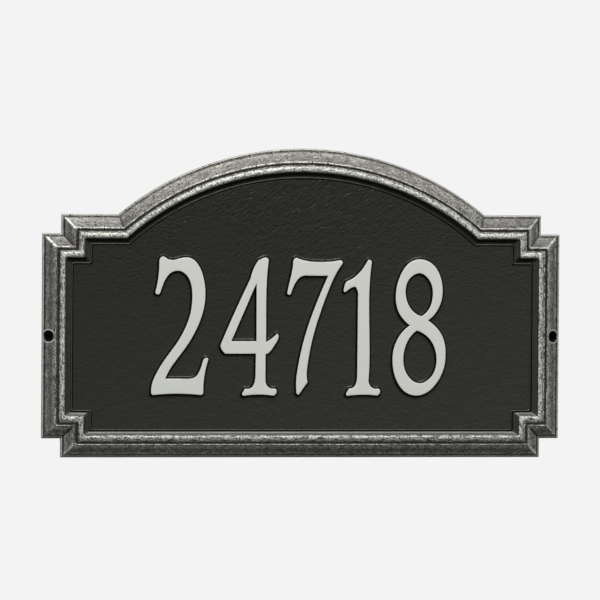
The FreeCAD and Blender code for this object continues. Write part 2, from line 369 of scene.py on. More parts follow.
def numeral_seven():
    outer = [
        [(16.2, 9.8)],
        [(15.6, 17.0), (16.6, 26.0), (18.2, 35.7), (21.5, 49.6), (26.1, 64.3), (33.0, 83.0),
         (39.2, 96.0), (42.6, 101.0)],
        [(43.0, 102.5), (42.4, 103.7), (41.0, 104.1)],
        [(32.4, 102.9), (23.9, 102.8), (14.6, 103.6), (7.7, 105.7)],
        [(6.2, 105.7), (5.1, 104.7), (4.5, 103.0)],
        [(3.3, 93.7), (0.5, 81.4), (0.0, 78.6)],
        [(0.8, 77.6), (3.0, 79.0)],
        [(6.7, 87.4), (10.4, 91.2), (16.0, 92.2)],
        [(31.8, 92.2)],
        [(19.2, 61.2), (12.3, 38.8), (9.2, 24.1), (7.5, 11.5), (7.7, 2.9)],
        [(8.2, 0.8), (9.4, 0.2)],
    ]
    return outer, []


def numeral_eight():
    outer = [
        [(9.3, 50.6), (3.9, 43.4), (0.9, 35.7), (0.0, 28.2), (0.9, 18.5), (4.6, 8.7),
         (11.1, 1.7), (19.0, -0.4), (27.3, 2.2), (35.5, 10.8), (40.0, 20.5), (41.4, 31.5),
         (39.6, 43.6), (33.5, 52.9), (27.5, 57.7)],
        [(34.0, 64.5), (37.6, 72.1), (38.7, 80.0), (37.4, 90.0), (30.6, 101.4), (22.0, 104.9),
         (13.6, 102.8), (6.3, 93.7), (2.2, 77.0), (4.5, 64.3), (8.7, 58.1), (13.7, 53.9)],
    ]
    upper_counter = [
        [(28.3, 66.7), (31.1, 77.0), (28.9, 88.2), (20.5, 94.3), (12.2, 89.2), (9.8, 79.0),
         (13.4, 67.6), (22.3, 60.9)],
    ]
    lower_counter = [
        [(12.6, 43.4), (8.4, 29.5), (12.0, 15.0), (21.0, 9.1), (30.0, 13.8), (34.4, 27.5),
         (31.0, 40.4), (18.8, 49.9)],
    ]
    return outer, [upper_counter, lower_counter]


# Each numeral with how far its left and right neighbours may tuck in under its arms
NUMERALS = {
    "one": (numeral_one, 0.0, 0.0),
    "two": (numeral_two, 0.0, 0.0),
    "four": (numeral_four, 0.0, 1.5),
    "seven": (numeral_seven, 1.5, 8.5),
    "eight": (numeral_eight, 0.0, 0.0),
}


def spline_points(knots):
    """A dense smooth curve through points, with end slopes from the cubic through four of them."""
    knots = np.array(knots)
    steps = np.linalg.norm(np.diff(knots, axis=0), axis=1)
    at = np.concatenate([[0.0], np.cumsum(steps)])
    count = len(knots)
    system = np.zeros((count, count))
    right = np.zeros((count, 2))
    reach = min(count, 4)
    for row, picked in ((0, slice(0, reach)), (count - 1, slice(count - reach, count))):
        system[row, row] = 1.0
        for axis in range(2):
            fitted = np.polyfit(at[picked], knots[picked, axis], reach - 1)
            right[row, axis] = np.polyval(np.polyder(fitted), at[row])
    for row in range(1, count - 1):
        before, after = steps[row - 1], steps[row]
        system[row, row - 1:row + 2] = (after, 2 * (before + after), before)
        right[row] = 3 * (
            after / before * (knots[row] - knots[row - 1])
            + before / after * (knots[row + 1] - knots[row])
        )
    slopes = np.linalg.solve(system, right)
    points = []
    for index, step in enumerate(steps):
        share = np.linspace(0, 1, SPLINE_STEPS, endpoint=False)[:, None]
        square, cube = share ** 2, share ** 3
        points.append(
            (2 * cube - 3 * square + 1) * knots[index]
            + (cube - 2 * square + share) * step * slopes[index]
            + (3 * square - 2 * cube) * knots[index + 1]
            + (cube - square) * step * slopes[index + 1]
        )
    points.append(knots[-1:])
    return np.concatenate(points)


def arc_points(start, middle, end):
    """A dense arc from one point through a second to a third."""
    start, middle, end = (complex(*p) for p in (start, middle, end))
    chord = end - start
    share = (middle - start) / chord
    offset = (share.real * (share.real - 1) + share.imag ** 2) / (2 * share.imag)
    centre = start + chord * complex(0.5, offset)
    first, last = start - centre, end - centre
    sweep = np.angle(last / first)
    if np.angle((middle - centre) / first) * sweep < 0:
        sweep -= math.copysign(2 * math.pi, sweep)
    points = centre + first * np.exp(1j * np.linspace(0, sweep, ARC_STEPS + 1))
    return np.stack([points.real, points.imag], axis=1)


def stroke_points(start, stroke):
    """Evenly spaced points along one stroke, without its end."""
    knots = [start] + stroke
    if len(knots) == 2:
        dense = np.array(knots, float)
        turned = 0.0
    else:
        dense = arc_points(*knots) if len(knots) == 3 else spline_points(knots)
        ways = np.diff(dense, axis=0)
        angles = np.unwrap(np.arctan2(ways[:, 1], ways[:, 0]))
        turned = np.abs(np.diff(angles)).sum()
    at = np.concatenate([[0.0], np.cumsum(np.linalg.norm(np.diff(dense, axis=0), axis=1))])
    count = math.ceil(max(at[-1] / OUTLINE_SPACING, math.degrees(turned) / POINT_TURN))
    wanted = np.linspace(0, at[-1], count, endpoint=False)
    return np.stack([np.interp(wanted, at, dense[:, axis]) for axis in range(2)], axis=1)


def outline_points(strokes):
    starts = [strokes[index - 1][-1] for index in range(len(strokes))]
    return np.concatenate([stroke_points(*pair) for pair in zip(starts, strokes)])


def numeral_loops():
    """All numeral outlines in place, each with the numeral on its left-hand side."""
    loops = []
    places = []
    cursor = 0.0
    tuck_before = 0.0
    for digit in HOUSE_NUMBER:
        draw, left_tuck, right_tuck = NUMERALS[digit]
        outer, counters = draw()
        outlines = [outline_points(outer)] + [outline_points(c)[::-1] for c in counters]
        outlines = [outline * NUMERAL_SCALE for outline in outlines]
        if places:
            cursor += NUMERAL_GAP - tuck_before - left_tuck
        places.append((cursor, outlines))
        cursor += outlines[0][:, 0].max()
        tuck_before = right_tuck
    for place, outlines in places:
        shift = np.array([place - cursor / 2 + NUMBER_OFFSET, BOTTOM + NUMERAL_BASELINE])
        loops += [outline + shift for outline in outlines]
    return loops


def turn_angles(loop):
    """The signed turn at every point of a closed loop, and the ways into and out of it."""
    way_out = np.roll(loop, -1, axis=0) - loop
    way_out /= np.linalg.norm(way_out, axis=1)[:, None]
    way_in = np.roll(way_out, 1, axis=0)
    cross = way_in[:, 0] * way_out[:, 1] - way_in[:, 1] * way_out[:, 0]
    return np.arctan2(cross, (way_in * way_out).sum(axis=1)), way_in, way_out


def row_beside(loop, distance):
    """Points at a distance outside a loop, fanned round its sharp corners."""
    turns, way_in, way_out = turn_angles(loop)
    points = []
    for point, turn, before, after in zip(loop, turns, way_in, way_out):
        first = math.atan2(-before[0], before[1])
        opens = turn * distance > 0
        steps = math.ceil(abs(turn) / FAN_TURN) if opens else 1
        if steps <= 1:
            angles, reach = [first + turn / 2], distance / math.cos(turn / 2)
        else:
            angles, reach = [first + turn * step / steps for step in range(steps + 1)], distance
        points += [point + reach * np.array([math.cos(a), math.sin(a)]) for a in angles]
    return np.array(points)


def kd_tree(points):
    tree = KDTree(len(points))
    for index, (x, z) in enumerate(points):
        tree.insert((x, z, 0.0), index)
    tree.balance()
    return tree


def distances_to(tree, points):
    return np.array([tree.find((x, z, 0.0))[2] for x, z in points])


def inside_loops(points, loops):
    """Whether each point lies within an odd number of the loops."""
    inside = np.zeros(len(points), bool)
    for loop in loops:
        near = (points > loop.min(axis=0)).all(axis=1) & (points < loop.max(axis=0)).all(axis=1)
        tested = points[near]
        odd = np.zeros(len(tested), bool)
        for (x0, z0), (x1, z1) in zip(loop, np.roll(loop, -1, axis=0)):
            crosses = (z0 > tested[:, 1]) != (z1 > tested[:, 1])
            if z0 != z1:
                odd ^= crosses & (tested[:, 0] < x0 + (tested[:, 1] - z0) * (x1 - x0) / (z1 - z0))
        inside[near] ^= odd
    return inside


def within_ring(points, inset):
    """Whether each point lies inside the outline once it is moved inwards."""
    side, bottom, shoulder, radius, _ = outline_sizes(inset)
    x, z = np.abs(points[:, 0]), points[:, 1]
    body = (x < side - CORNER_STEP) & (z > bottom) & (z < shoulder)
    ears = (x < side) & (z > bottom + CORNER_STEP) & (z < shoulder - CORNER_STEP)
    arch = (z >= shoulder) & (x ** 2 + (z - ARCH_CENTRE) ** 2 < radius ** 2)
    return body | ears | arch


def lattice(spacing, low, high):
    """A jittered triangular grid between two heights across the whole width."""
    rows = np.arange(low, high, spacing * math.sqrt(3) / 2)
    columns = np.arange(-HALF_WIDTH, HALF_WIDTH, spacing)
    points = np.array([
        (x + spacing / 2 * (index % 2), z) for index, z in enumerate(rows) for x in columns
    ])
    return points + RANDOM.uniform(-0.12, 0.12, points.shape) * spacing


# How the wall of a numeral falls to the field: (distance outwards, height over the field)
WALL = (
    (0.1, NUMERAL_RELIEF - 0.2), (0.5, NUMERAL_RELIEF - 1.3), (0.9, 0.75), (1.2, 0.42),
    (1.6, 0.19), (2.0, 0.04), (2.4, 0.0),
)
FACE_HEIGHT = FIELD_HEIGHT + NUMERAL_RELIEF
FACE_EDGE_DROP = 0.05
FACE_ROW = -0.45
FOOT_GAP = 0.8
# Past this distance from a face it makes no difference how far it is
FAR = 9.0
RANDOM = np.random.default_rng(7)


def front_points(boundary, loops):
    """All points of the field and numerals: places, heights and distances from the faces."""
    tree = kd_tree(np.concatenate(loops))
    places = [boundary, *loops]
    heights = [np.full(len(boundary), FIELD_HEIGHT)]
    heights += [np.full(len(loop), FACE_HEIGHT - FACE_EDGE_DROP) for loop in loops]
    away = [np.full(len(boundary), FAR)] + [np.zeros(len(loop)) for loop in loops]
    for distance, height in ((FACE_ROW, NUMERAL_RELIEF), *WALL):
        for loop in loops:
            row = row_beside(loop, distance)
            # a point that another stretch of the outline comes nearer to is left out
            row = row[distances_to(tree, row) > abs(distance) * 0.97]
            places.append(row)
            heights.append(np.full(len(row), FIELD_HEIGHT + height))
            away.append(np.full(len(row), distance))
    everywhere = np.concatenate([
        lattice(FIELD_SPACING, BOTTOM, ARCH_FIELD_START - 1.0),
        lattice(ARCH_FIELD_SPACING, ARCH_FIELD_START, LATTICE_TOP),
    ])
    everywhere = everywhere[within_ring(everywhere, FIELD_START + FOOT_GAP)]
    on_numeral = inside_loops(everywhere, loops)
    clear = distances_to(tree, everywhere)
    kept = ~on_numeral & (clear > WALL[-1][0] + LATTICE_GAP)
    places.append(everywhere[kept])
    heights.append(np.full(kept.sum(), FIELD_HEIGHT))
    away.append(np.minimum(clear[kept], FAR))
    kept = on_numeral & (clear > -FACE_ROW + LATTICE_GAP)
    places.append(everywhere[kept])
    heights.append(np.full(kept.sum(), FACE_HEIGHT))
    away.append(-clear[kept])
    return np.concatenate(places), np.concatenate(heights), np.concatenate(away)


def triangulated(places, boundary_count, loop_counts):
    """Triangles over the points, within the boundary and with every loop kept as an edge.

    Gives their centres, their three points each, and for every point its number in places.
    """
    edges = []
    start = boundary_count
    for count in loop_counts:
        edges += [(start + step, start + (step + 1) % count) for step in range(count)]
        start += count
    boundary = [list(range(boundary_count))]
    vertices, _, triangles, origins, _, _ = delaunay_2d_cdt(
        [Vector(place) for place in places], edges, boundary, 1, 1e-6, True
    )
    vertices = np.array(vertices)
    centres = np.array([vertices[list(triangle)].mean(axis=0) for triangle in triangles])
    inside = inside_loops(centres, [places[:boundary_count]])
    kept = [triangle for triangle, within in zip(triangles, inside) if within]
    return centres[inside], kept, [min(origin) for origin in origins]


# The whole mesh

def perlin(x, y, z, size):
    return noise.noise(Vector((x / size, y / size, z / size)))


def cast_relief(point, coat, away):
    """How far the casting's skin lies below its true place, in mm."""
    x, y, z = point
    if coat <= RECESS_COAT:
        return 0.25 * (0.5 + perlin(x, 40.0, z, 14.0))
    if coat < 0.2:
        return 0.0
    if away < 0.3:
        return 0.03 * (0.5 + perlin(x, 9.0, z, 11.0))
    if coat > FIELD_START - FOOT_WIDTH - 0.1:
        upper = min(max((z + 20.0) / 90.0, 0.0), 1.0)
        wave = perlin(x, 0.0, z * 1.8, 9.0) * 0.07
        ripple = perlin(x * 0.6, 5.0, z * 1.5, 2.6) * 0.05 * upper
        return 0.06 + wave + ripple
    return 0.09 * (0.6 + perlin(x, y, z, 7.0)) + 0.05 * (0.5 + perlin(x, y, z, 2.4))


BORDER, COAT, FACE = 0, 1, 2
# What a point off the border has in place of its marks
UNMARKED = (99.0, 1.0, 0.0, 0.0, 0.0)


def batch(places, heights, coat, marks=UNMARKED, away=FAR):
    """Points with what the mesh holds for each of them."""
    count = len(places)
    return (
        places, np.broadcast_to(heights, count), np.full(count, coat),
        np.broadcast_to(marks, (count, len(UNMARKED))), np.broadcast_to(away, count),
    )


def plaque_mesh():
    section = border_section()
    rings = [ring(inset, radius) for inset, _, radius, _ in section]
    count = len(rings[0])
    marks = ring_marks()
    batches = [
        batch(places, height, coat, marks)
        for places, (_, height, _, coat) in zip(rings, section)
    ]
    faces = []
    for row in range(len(section) - 1):
        for step in range(count):
            following = (step + 1) % count
            faces.append((
                row * count + step, row * count + following,
                (row + 1) * count + following, (row + 1) * count + step,
            ))
    face_slots = [BORDER] * len(faces)
    total = count * len(section)

    # the field and the numerals, joined to the last ring
    loops = numeral_loops()
    front, front_heights, away = front_points(rings[-1], loops)
    centres, triangles, origins = triangulated(front, count, [len(loop) for loop in loops])
    extra = [origin for origin in origins if origin >= count]
    fresh = iter(range(total, total + len(extra)))
    numbers = [total - count + origin if origin < count else next(fresh) for origin in origins]
    batches.append(batch(front[extra], front_heights[extra], FIELD_COAT, away=away[extra]))
    for triangle, numeral in zip(triangles, inside_loops(centres, loops)):
        faces.append(tuple(numbers[v] for v in triangle))
        face_slots.append(FACE if numeral else COAT)
    total += len(extra)

    # the floor of the hollow back, joined to the first ring
    grid = lattice(BACK_SPACING, BOTTOM, LATTICE_TOP)
    grid = grid[within_ring(grid, BACK_RIM + 4.0)]
    _, triangles, origins = triangulated(np.concatenate([rings[0], grid]), count, [])
    numbers = [origin if origin < count else total + origin - count for origin in origins]
    batches.append(batch(grid, RECESS_DEPTH, RECESS_COAT))
    faces += [tuple(numbers[v] for v in reversed(triangle)) for triangle in triangles]
    face_slots += [COAT] * len(triangles)

    places, heights, coats, marks, aways = (np.concatenate(part) for part in zip(*batches))
    points = np.stack([places[:, 0], -heights, places[:, 1]], axis=1)
    points[:, 1] += [
        cast_relief(point, coat, away) for point, coat, away in zip(points, coats, aways)
    ]
    mesh = bpy.data.meshes.new("plaque_casting")
    mesh.from_pydata((points * MM).tolist(), [], faces)
    names = ("corner_distance", "corner_side", "along", "outward_x", "outward_z")
    for name, values in (("inset", coats), *zip(names, marks.T), ("from_face", aways)):
        layer = mesh.attributes.new(name, "FLOAT", "POINT")
        layer.data.foreach_set("value", values.astype(np.float32))
    mesh.polygons.foreach_set("material_index", face_slots)
    return mesh


def hole_cutter():
    """What is cut out for both screws: an oval pocket from the front and a round hole."""
    levels = (
        (CUT_BOTTOM, HOLE_RADIUS, 0.0), (POCKET_FLOOR, HOLE_RADIUS, 0.0),
        (POCKET_FLOOR, POCKET_RADIUS - 0.35, POCKET_STRAIGHT),
        (POCKET_FLOOR + 0.3, POCKET_RADIUS - 0.08, POCKET_STRAIGHT),
        (CUT_TOP, POCKET_RADIUS, POCKET_STRAIGHT),
    )
    ways = [2 * math.pi * step / HOLE_SIDES for step in range(HOLE_SIDES)]
    points, faces = [], []
    for side in (-1, 1):
        base = len(points)
        for height, radius, straight in levels:
            for way in ways:
                shift = math.copysign(straight, math.sin(way))
                across = side * HOLE_X + radius * math.cos(way)
                points.append((across, -height, radius * math.sin(way) + shift))
        for low in range(base, len(points) - HOLE_SIDES, HOLE_SIDES):
            high = low + HOLE_SIDES
            for step in range(HOLE_SIDES):
                following = (step + 1) % HOLE_SIDES
                faces.append((low + step, low + following, high + following, high + step))
        faces.append(tuple(reversed(range(base, base + HOLE_SIDES))))
        faces.append(tuple(range(len(points) - HOLE_SIDES, len(points))))
    mesh = bpy.data.meshes.new("hole_cutter")
    mesh.from_pydata([tuple(c * MM for c in p) for p in points], [], faces)
    return mesh


def linked(name, data):
    made = bpy.data.objects.new(name, data)
    bpy.context.scene.collection.objects.link(made)
    return made


# Materials

class Nodes:
    """Short ways to put nodes into a material or a world and to join them."""

    def __init__(self, name, kind="materials"):
        self.owner = getattr(bpy.data, kind).new(name)
        self.owner.use_nodes = True
        self.tree = self.owner.node_tree
        self.tree.nodes.clear()

    def add(self, kind, inputs=(), **settings):
        """A node with its inputs, each a value or what comes out of another node."""
        made = self.tree.nodes.new("ShaderNode" + kind)
        for key, value in settings.items():
            setattr(made, key, value)
        for key, value in dict(inputs).items():
            if isinstance(value, bpy.types.NodeSocket):
                self.tree.links.new(value, made.inputs[key])
            else:
                made.inputs[key].default_value = value
        return made

    def math(self, operation, first, *others, clamp=False):
        """One operation on a value, or on several from left to right."""
        for other in others or (0.0,):
            made = self.add("Math", {0: first, 1: other}, operation=operation)
            first = made.outputs[0]
        made.use_clamp = clamp
        return first

    def times(self, *values, clamp=False):
        return self.math("MULTIPLY", *values, clamp=clamp)

    def ranged(self, value, low, high, to_low=0.0, to_high=1.0):
        return self.add("MapRange", {
            "Value": value, "From Min": low, "From Max": high,
            "To Min": to_low, "To Max": to_high,
        }).outputs[0]

    def blend(self, share, at_none, at_full):
        """One value where the share is 0, and another where it is 1."""
        return self.ranged(share, 0.0, 1.0, at_none, at_full)

    def scaled(self, value, *pairs):
        """The value, times the factor of each (share, factor) as far as its share goes."""
        for share, factor in pairs:
            value = self.times(value, self.blend(share, 1.0, factor))
        return value

    def attribute(self, name):
        return self.add("Attribute", attribute_name=name).outputs["Fac"]

    def coordinates(self, kind):
        return self.add("TexCoord").outputs[kind]

    def parts(self, vector):
        return self.add("SeparateXYZ", {0: vector}).outputs

    def dot(self, vector, way):
        made = self.add("VectorMath", {0: vector, 1: way}, operation="DOT_PRODUCT")
        return made.outputs["Value"]

    def noise(self, where, scale, detail, roughness, distortion=0.0):
        return self.add("TexNoise", {
            "Vector": where, "Scale": scale, "Detail": detail, "Roughness": roughness,
            "Distortion": distortion,
        }).outputs["Fac"]

    def ramp(self, value, stops):
        """A grey between stops, each as (position, shade)."""
        made = self.add("ValToRGB", {"Fac": value})
        while len(made.color_ramp.elements) < len(stops):
            made.color_ramp.elements.new(0.5)
        for element, (position, shade) in zip(made.color_ramp.elements, stops):
            element.position = position
            element.color = (shade, shade, shade, 1.0)
        return made.outputs["Color"]

    def bump(self, height, distance, strength=1.0, normal=None):
        inputs = {"Height": height, "Distance": distance, "Strength": strength}
        if normal:
            inputs["Normal"] = normal
        return self.add("Bump", inputs).outputs["Normal"]

    def surface(self, colour, roughness, specular=0.5, metallic=0.0, normal=None):
        inputs = {
            "Base Color": (*colour, 1.0), "Roughness": roughness,
            "Specular IOR Level": specular, "Metallic": metallic,
        }
        if normal:
            inputs["Normal"] = normal
        return self.add("BsdfPrincipled", inputs).outputs[0]

    def mixed(self, share, first, second):
        return self.add("MixShader", {0: share, 1: first, 2: second}).outputs[0]

    def finish(self, shader, kind="Material"):
        self.add("Output" + kind, {"Surface": shader})
        return self.owner


def streaks(nodes, where, tilt, scale, length):
    """Fine uneven lines that run at a tilt across the front."""
    slope, rise = math.cos(math.radians(tilt)), math.sin(math.radians(tilt))
    along = nodes.dot(where, (slope, 0.0, rise))
    across = nodes.dot(where, (-rise, 0.0, slope))
    shortened = nodes.math("DIVIDE", along, length)
    stretched = nodes.add("CombineXYZ", {"X": shortened, "Z": across}).outputs[0]
    return nodes.noise(stretched, scale, 1.0, 0.4, 0.8)


def coat_material():
    """Semi-gloss black paint over a sand-cast skin, rippled like leather towards the top."""
    nodes = Nodes("black_coat")
    where = nodes.coordinates("Object")
    parts = nodes.parts(where)
    middle = nodes.times(
        nodes.ranged(nodes.math("ABSOLUTE", parts["X"]), 0.1, 0.04),
        nodes.ranged(parts["Z"], 0.035, 0.065),
    )
    slanted = nodes.times(streaks(nodes, where, 40.0, 640.0, 3.6), middle)
    level = nodes.times(streaks(nodes, where, -6.0, 700.0, 2.0), nodes.blend(middle, 0.6, 0.1))
    ripples = nodes.times(
        nodes.math("ADD", slanted, level), nodes.ranged(parts["Z"], 0.0, 0.09), 4.5
    )
    ripples = nodes.math("ADD", ripples, nodes.noise(where, 560.0, 1.0, 0.5))
    on_field = nodes.ranged(nodes.attribute("inset"), 21.0, 24.0, 0.1, 1.0)
    normal = nodes.bump(nodes.times(ripples, on_field), 0.00016)
    # painted sheen and shade: the coat's reflections are made stronger below and to the right and
    # weaker towards the top
    shine = nodes.math("ADD", nodes.dot(where, (0.24, 0.0, -0.65)), 0.455)
    # painted shade: the walls of the numerals lose most of their sheen, apart from those that face
    # up
    turned = nodes.parts(nodes.coordinates("Normal"))["Z"]
    wall = nodes.times(
        nodes.ranged(nodes.attribute("from_face"), 1.9, 1.1), nodes.ranged(turned, 0.4, 0.2)
    )
    shine = nodes.scaled(shine, (wall, 0.2))
    return nodes.finish(nodes.surface((0.0055, 0.0052, 0.0030), 0.27, shine, normal=normal))


def pocket_material():
    """The black paint down in the screw holes, darker and duller than the coat elsewhere: painted
    shade.
    """
    nodes = Nodes("pocket_coat_and_shade")
    normal = nodes.bump(nodes.noise(nodes.coordinates("Object"), 900.0, 2.0, 0.6), 0.0001, 0.6)
    return nodes.finish(nodes.surface((0.002, 0.0019, 0.0017), 0.55, 0.12, normal=normal))


def face_material():
    """Rubbed satin metal on the faces of the numerals."""
    nodes = Nodes("numeral_face")
    where = nodes.coordinates("Object")
    roughness = nodes.ranged(nodes.noise(where, 60.0, 3.0, 0.5), 0.3, 0.7, 0.44, 0.52)
    normal = nodes.bump(nodes.noise(where, 230.0, 2.0, 0.6), 0.00012, 0.5)
    normal = nodes.bump(nodes.noise(where, 1900.0, 2.0, 0.6), 0.00004, 0.5, normal)
    return nodes.finish(nodes.surface(
        (0.76, 0.777, 0.723), roughness, metallic=0.4, normal=normal
    ))


# Where the silver shows across the border: (inset in mm, share)
SECTION_STOPS = (
    (0.0, 0.4), (0.25, 0.55), (0.6, 0.65), (1.1, 0.6), (1.4, 0.06), (2.0, 0.02),
    (2.4, 0.19), (3.2, 0.26), (4.2, 0.18), (5.2, 0.11), (6.4, 0.14), (7.4, 0.23),
    (8.4, 0.3), (9.3, 0.43), (10.3, 0.6), (10.7, 0.1), (11.1, 0.0), (12.1, 0.0),
    (12.5, 0.45), (13.0, 0.75), (13.8, 0.95), (15.0, 1.0), (18.3, 1.0), (18.6, 0.0),
    (24.0, 0.0),
)
SECTION_WIDTH = SECTION_STOPS[-1][0]
UP_SLOPE_SILVER = 0.172


class BorderNodes(Nodes):
    """The border's nodes, with the places, patterns and shares that its parts have in common."""

    def __init__(self, name):
        super().__init__(name)
        self.where = self.coordinates("Object")
        parts = self.parts(self.where)
        self.x, self.z = parts["X"], parts["Z"]
        self.inset = self.attribute("inset")
        # the way outwards, from -1 to 1: to the right and up
        self.sideways = self.attribute("outward_x")
        self.facing = self.attribute("outward_z")

        self.ragged = self.noise(self.where, 430.0, 4.0, 0.7)
        self.grain = self.noise(self.where, 900.0, 2.0, 0.6)
        run = self.times(self.attribute("along"), 0.16)
        lengthwise = self.add("CombineXYZ", {"X": run, "Y": self.inset}).outputs[0]
        self.lines = self.noise(lengthwise, 0.95, 2.0, 0.6, 0.3)

        self.upper = self.ranged(self.facing, 0.3, 0.7)
        self.lower = self.ranged(self.facing, -0.5, -0.9)
        self.on_land = self.ranged(self.inset, 1.6, 1.2)
        self.on_slope = self.times(
            self.math("GREATER_THAN", self.inset, 2.0), self.math("LESS_THAN", self.inset, 9.2)
        )
        self.past_groove = self.ranged(self.inset, 11.8, 12.2)
        self.faces_up = self.times(self.upper, self.on_slope)

    def band(self, start, full, fading, gone):
        """1 along a strip of the border, with soft sides."""
        inset = self.inset
        return self.times(self.ranged(inset, start, full), self.ranged(inset, gone, fading))

    def section_silver(self):
        """The share of silver before any wear."""
        shift = self.math(
            "ADD", self.ranged(self.ragged, 0.3, 0.7, -0.5, 0.5),
            self.ranged(self.sideways, -1.0, 1.0, -0.6, 0.6),
        )
        shift = self.times(shift, self.ranged(self.inset, 1.8, 3.0, 0.25, 1.0))
        across = self.math("ADD", self.inset, shift)
        across = self.math("DIVIDE", across, SECTION_WIDTH, clamp=True)
        silver = self.ramp(across, [(at / SECTION_WIDTH, share) for at, share in SECTION_STOPS])
        # on the right the silver ends a little sooner
        bead_end = self.math("ADD", self.inset, self.ranged(self.sideways, 0.3, 0.9, 0.0, 0.75))
        silver = self.times(
            silver, self.ranged(bead_end, 17.6, 17.3), self.ranged(self.inset, -1.1, -0.7)
        )
        # the slopes that face up are brought to an even share of silver; painted light raises it
        # where the arch turns to the right, and a little where it turns to the left
        wanted = self.math(
            "MAXIMUM", self.ranged(self.sideways, 0.0, 0.45, UP_SLOPE_SILVER, 0.38),
            self.ranged(self.sideways, 0.0, -0.45, UP_SLOPE_SILVER, 0.2),
        )
        evened = self.times(self.math("SUBTRACT", wanted, silver), self.faces_up, 0.75)
        # painted light: silver in the crevice behind the outer land on the upper stretches, where
        # light falls in from above
        lit_crevice = self.times(
            self.band(1.0, 1.3, 2.1, 2.4), self.blend(self.upper, 0.0, 0.3)
        )
        # the mitres of outward corners are rubbed and those of inward corners are black, but
        # hardly so on the ears below
        low_ear = self.times(
            self.ranged(self.math("ABSOLUTE", self.x), 0.185, 0.188),
            self.ranged(self.z, -0.05, -0.07),
        )
        mitre = self.times(
            self.ranged(self.attribute("corner_distance"), 1.3, 0.3),
            self.ranged(self.attribute("corner_side"), -1.0, 1.0, -0.3, 1.0),
            self.blend(low_ear, 1.0, 0.2), self.on_slope, 0.8,
        )
        return self.math("ADD", silver, evened, lit_crevice, mitre, clamp=True)

    def evened_on_land(self, value):
        """The value, brought three quarters of the way to 1 on the outer land."""
        missing = self.math("SUBTRACT", 1.0, value)
        return self.math("ADD", value, self.times(missing, self.on_land, 0.75))

    def speckle(self):
        """Fine grain with lines that run along the border."""
        grain = self.ranged(
            self.grain, 0.38, 0.62,
            self.blend(self.faces_up, 0.3, 0.45), self.blend(self.faces_up, 1.6, 1.45),
        )
        lines = self.ranged(self.lines, 0.35, 0.65, 0.6, 1.35)
        return self.evened_on_land(self.times(grain, lines))

    def patches(self):
        """Larger patches and nicks, with painted light on the slopes that face right or down and
        painted shade on the outer land of the lower stretches and on the right shoulder's
        up-facing slope; less silver along the lowest part and on the bead of the upper stretches,
        and less rubbed on the left flank of the bead.
        """
        milder = self.ranged(self.inset, 11.5, 12.0)
        patches = self.ranged(
            self.noise(self.where, 130.0, 3.0, 0.6), 0.35, 0.65,
            self.blend(milder, 0.7, 0.85), self.blend(milder, 1.25, 1.12),
        )
        # painted light: more silver on the slopes that face right or down
        lit_right_faces = self.times(self.ranged(self.sideways, 0.3, 0.7), self.on_slope)
        lit_down_faces = self.times(self.ranged(self.facing, -0.3, -0.7), self.on_slope)
        lowest = self.math(
            "SUBTRACT", self.ranged(self.z, -0.066, -0.074), self.on_slope, clamp=True
        )
        patches = self.scaled(patches, (lit_right_faces, 1.6), (lit_down_faces, 1.6), (lowest, 0.72))
        nicks = self.times(
            self.ranged(self.noise(self.where, 600.0, 4.0, 0.8), 0.37, 0.46, 0.25, 1.0),
            self.ranged(self.lines, 0.38, 0.48, 0.3, 1.0),
        )
        nicks = self.blend(nicks, self.blend(self.upper, 0.0, 0.55), 1.0)
        patches = self.times(patches, self.math("MAXIMUM", nicks, self.on_slope))
        patches = self.evened_on_land(patches)
        # painted shade: less silver on the outer land of the lower stretches and on the right
        # shoulder's up-facing slope
        shaded_low_land = self.times(self.on_land, self.lower, self.ranged(self.inset, 0.1, 0.5))
        shaded_right_shoulder = self.times(self.ranged(self.x, 0.138, 0.144), self.faces_up)
        left_flank = self.times(
            self.ranged(self.inset, 15.5, 13.5), self.ranged(self.sideways, -0.3, -0.7),
            self.past_groove,
        )
        upper_bead = self.times(self.past_groove, self.upper)
        return self.scaled(
            patches, (shaded_low_land, 0.15), (shaded_right_shoulder, 0.7), (left_flank, 0.7),
            (upper_bead, 0.82),
        )

    def pits(self):
        """Small pits in which the wash has stayed: 0 in a pit and 1 elsewhere."""
        cells = self.add("TexVoronoi", {
            "Vector": self.where, "Scale": 420.0, "Randomness": 1.0,
        }).outputs
        chance = self.add("SeparateColor", {0: cells["Color"]}).outputs[0]
        spared = self.math("LESS_THAN", chance, 0.68)
        return self.math("MAXIMUM", self.ranged(cells["Distance"], 0.2, 0.3), spared)

    def thin_silver_and_highlights(self):
        """Silver round the screw pockets and along the inner frame, partly painted highlight, and
        a painted highlight on the cove below.
        """
        level = self.math("ABSOLUTE", self.z)
        beside = self.math("SUBTRACT", self.math("ABSOLUTE", self.x), HOLE_X * MM)
        beyond = self.math("MAXIMUM", self.math("SUBTRACT", level, POCKET_STRAIGHT * MM), 0.0)
        reach = self.math("SQRT", self.math(
            "ADD", self.times(beside, beside), self.times(beyond, beyond)
        ))
        # rubbed silver round each pocket, made brighter above and below as a painted highlight
        # where the rims catch the light
        rim = self.times(
            self.ranged(reach, 0.0047, 0.0040), self.ranged(level, 0.0012, 0.0036, 0.12, 0.9),
            self.math("GREATER_THAN", self.inset, 0.0),
        )
        # a faint rubbed crest on the inner frame, with a painted highlight for light from the
        # upper left: weaker on the upper stretches and gone where it faces right
        frame_crest = self.times(
            self.band(21.6, 21.9, 22.2, 22.5), self.blend(self.upper, 0.055, 0.03),
            self.ranged(self.sideways, 0.3, 0.9, 1.0, 0.0),
        )
        # painted highlight: a little silver on the cove of the lower stretches, where it faces up
        # to the light
        lit_cove = self.times(self.band(17.0, 17.6, 20.6, 20.9), self.lower, 0.09)
        return self.math("MAXIMUM", rim, frame_crest, lit_cove)

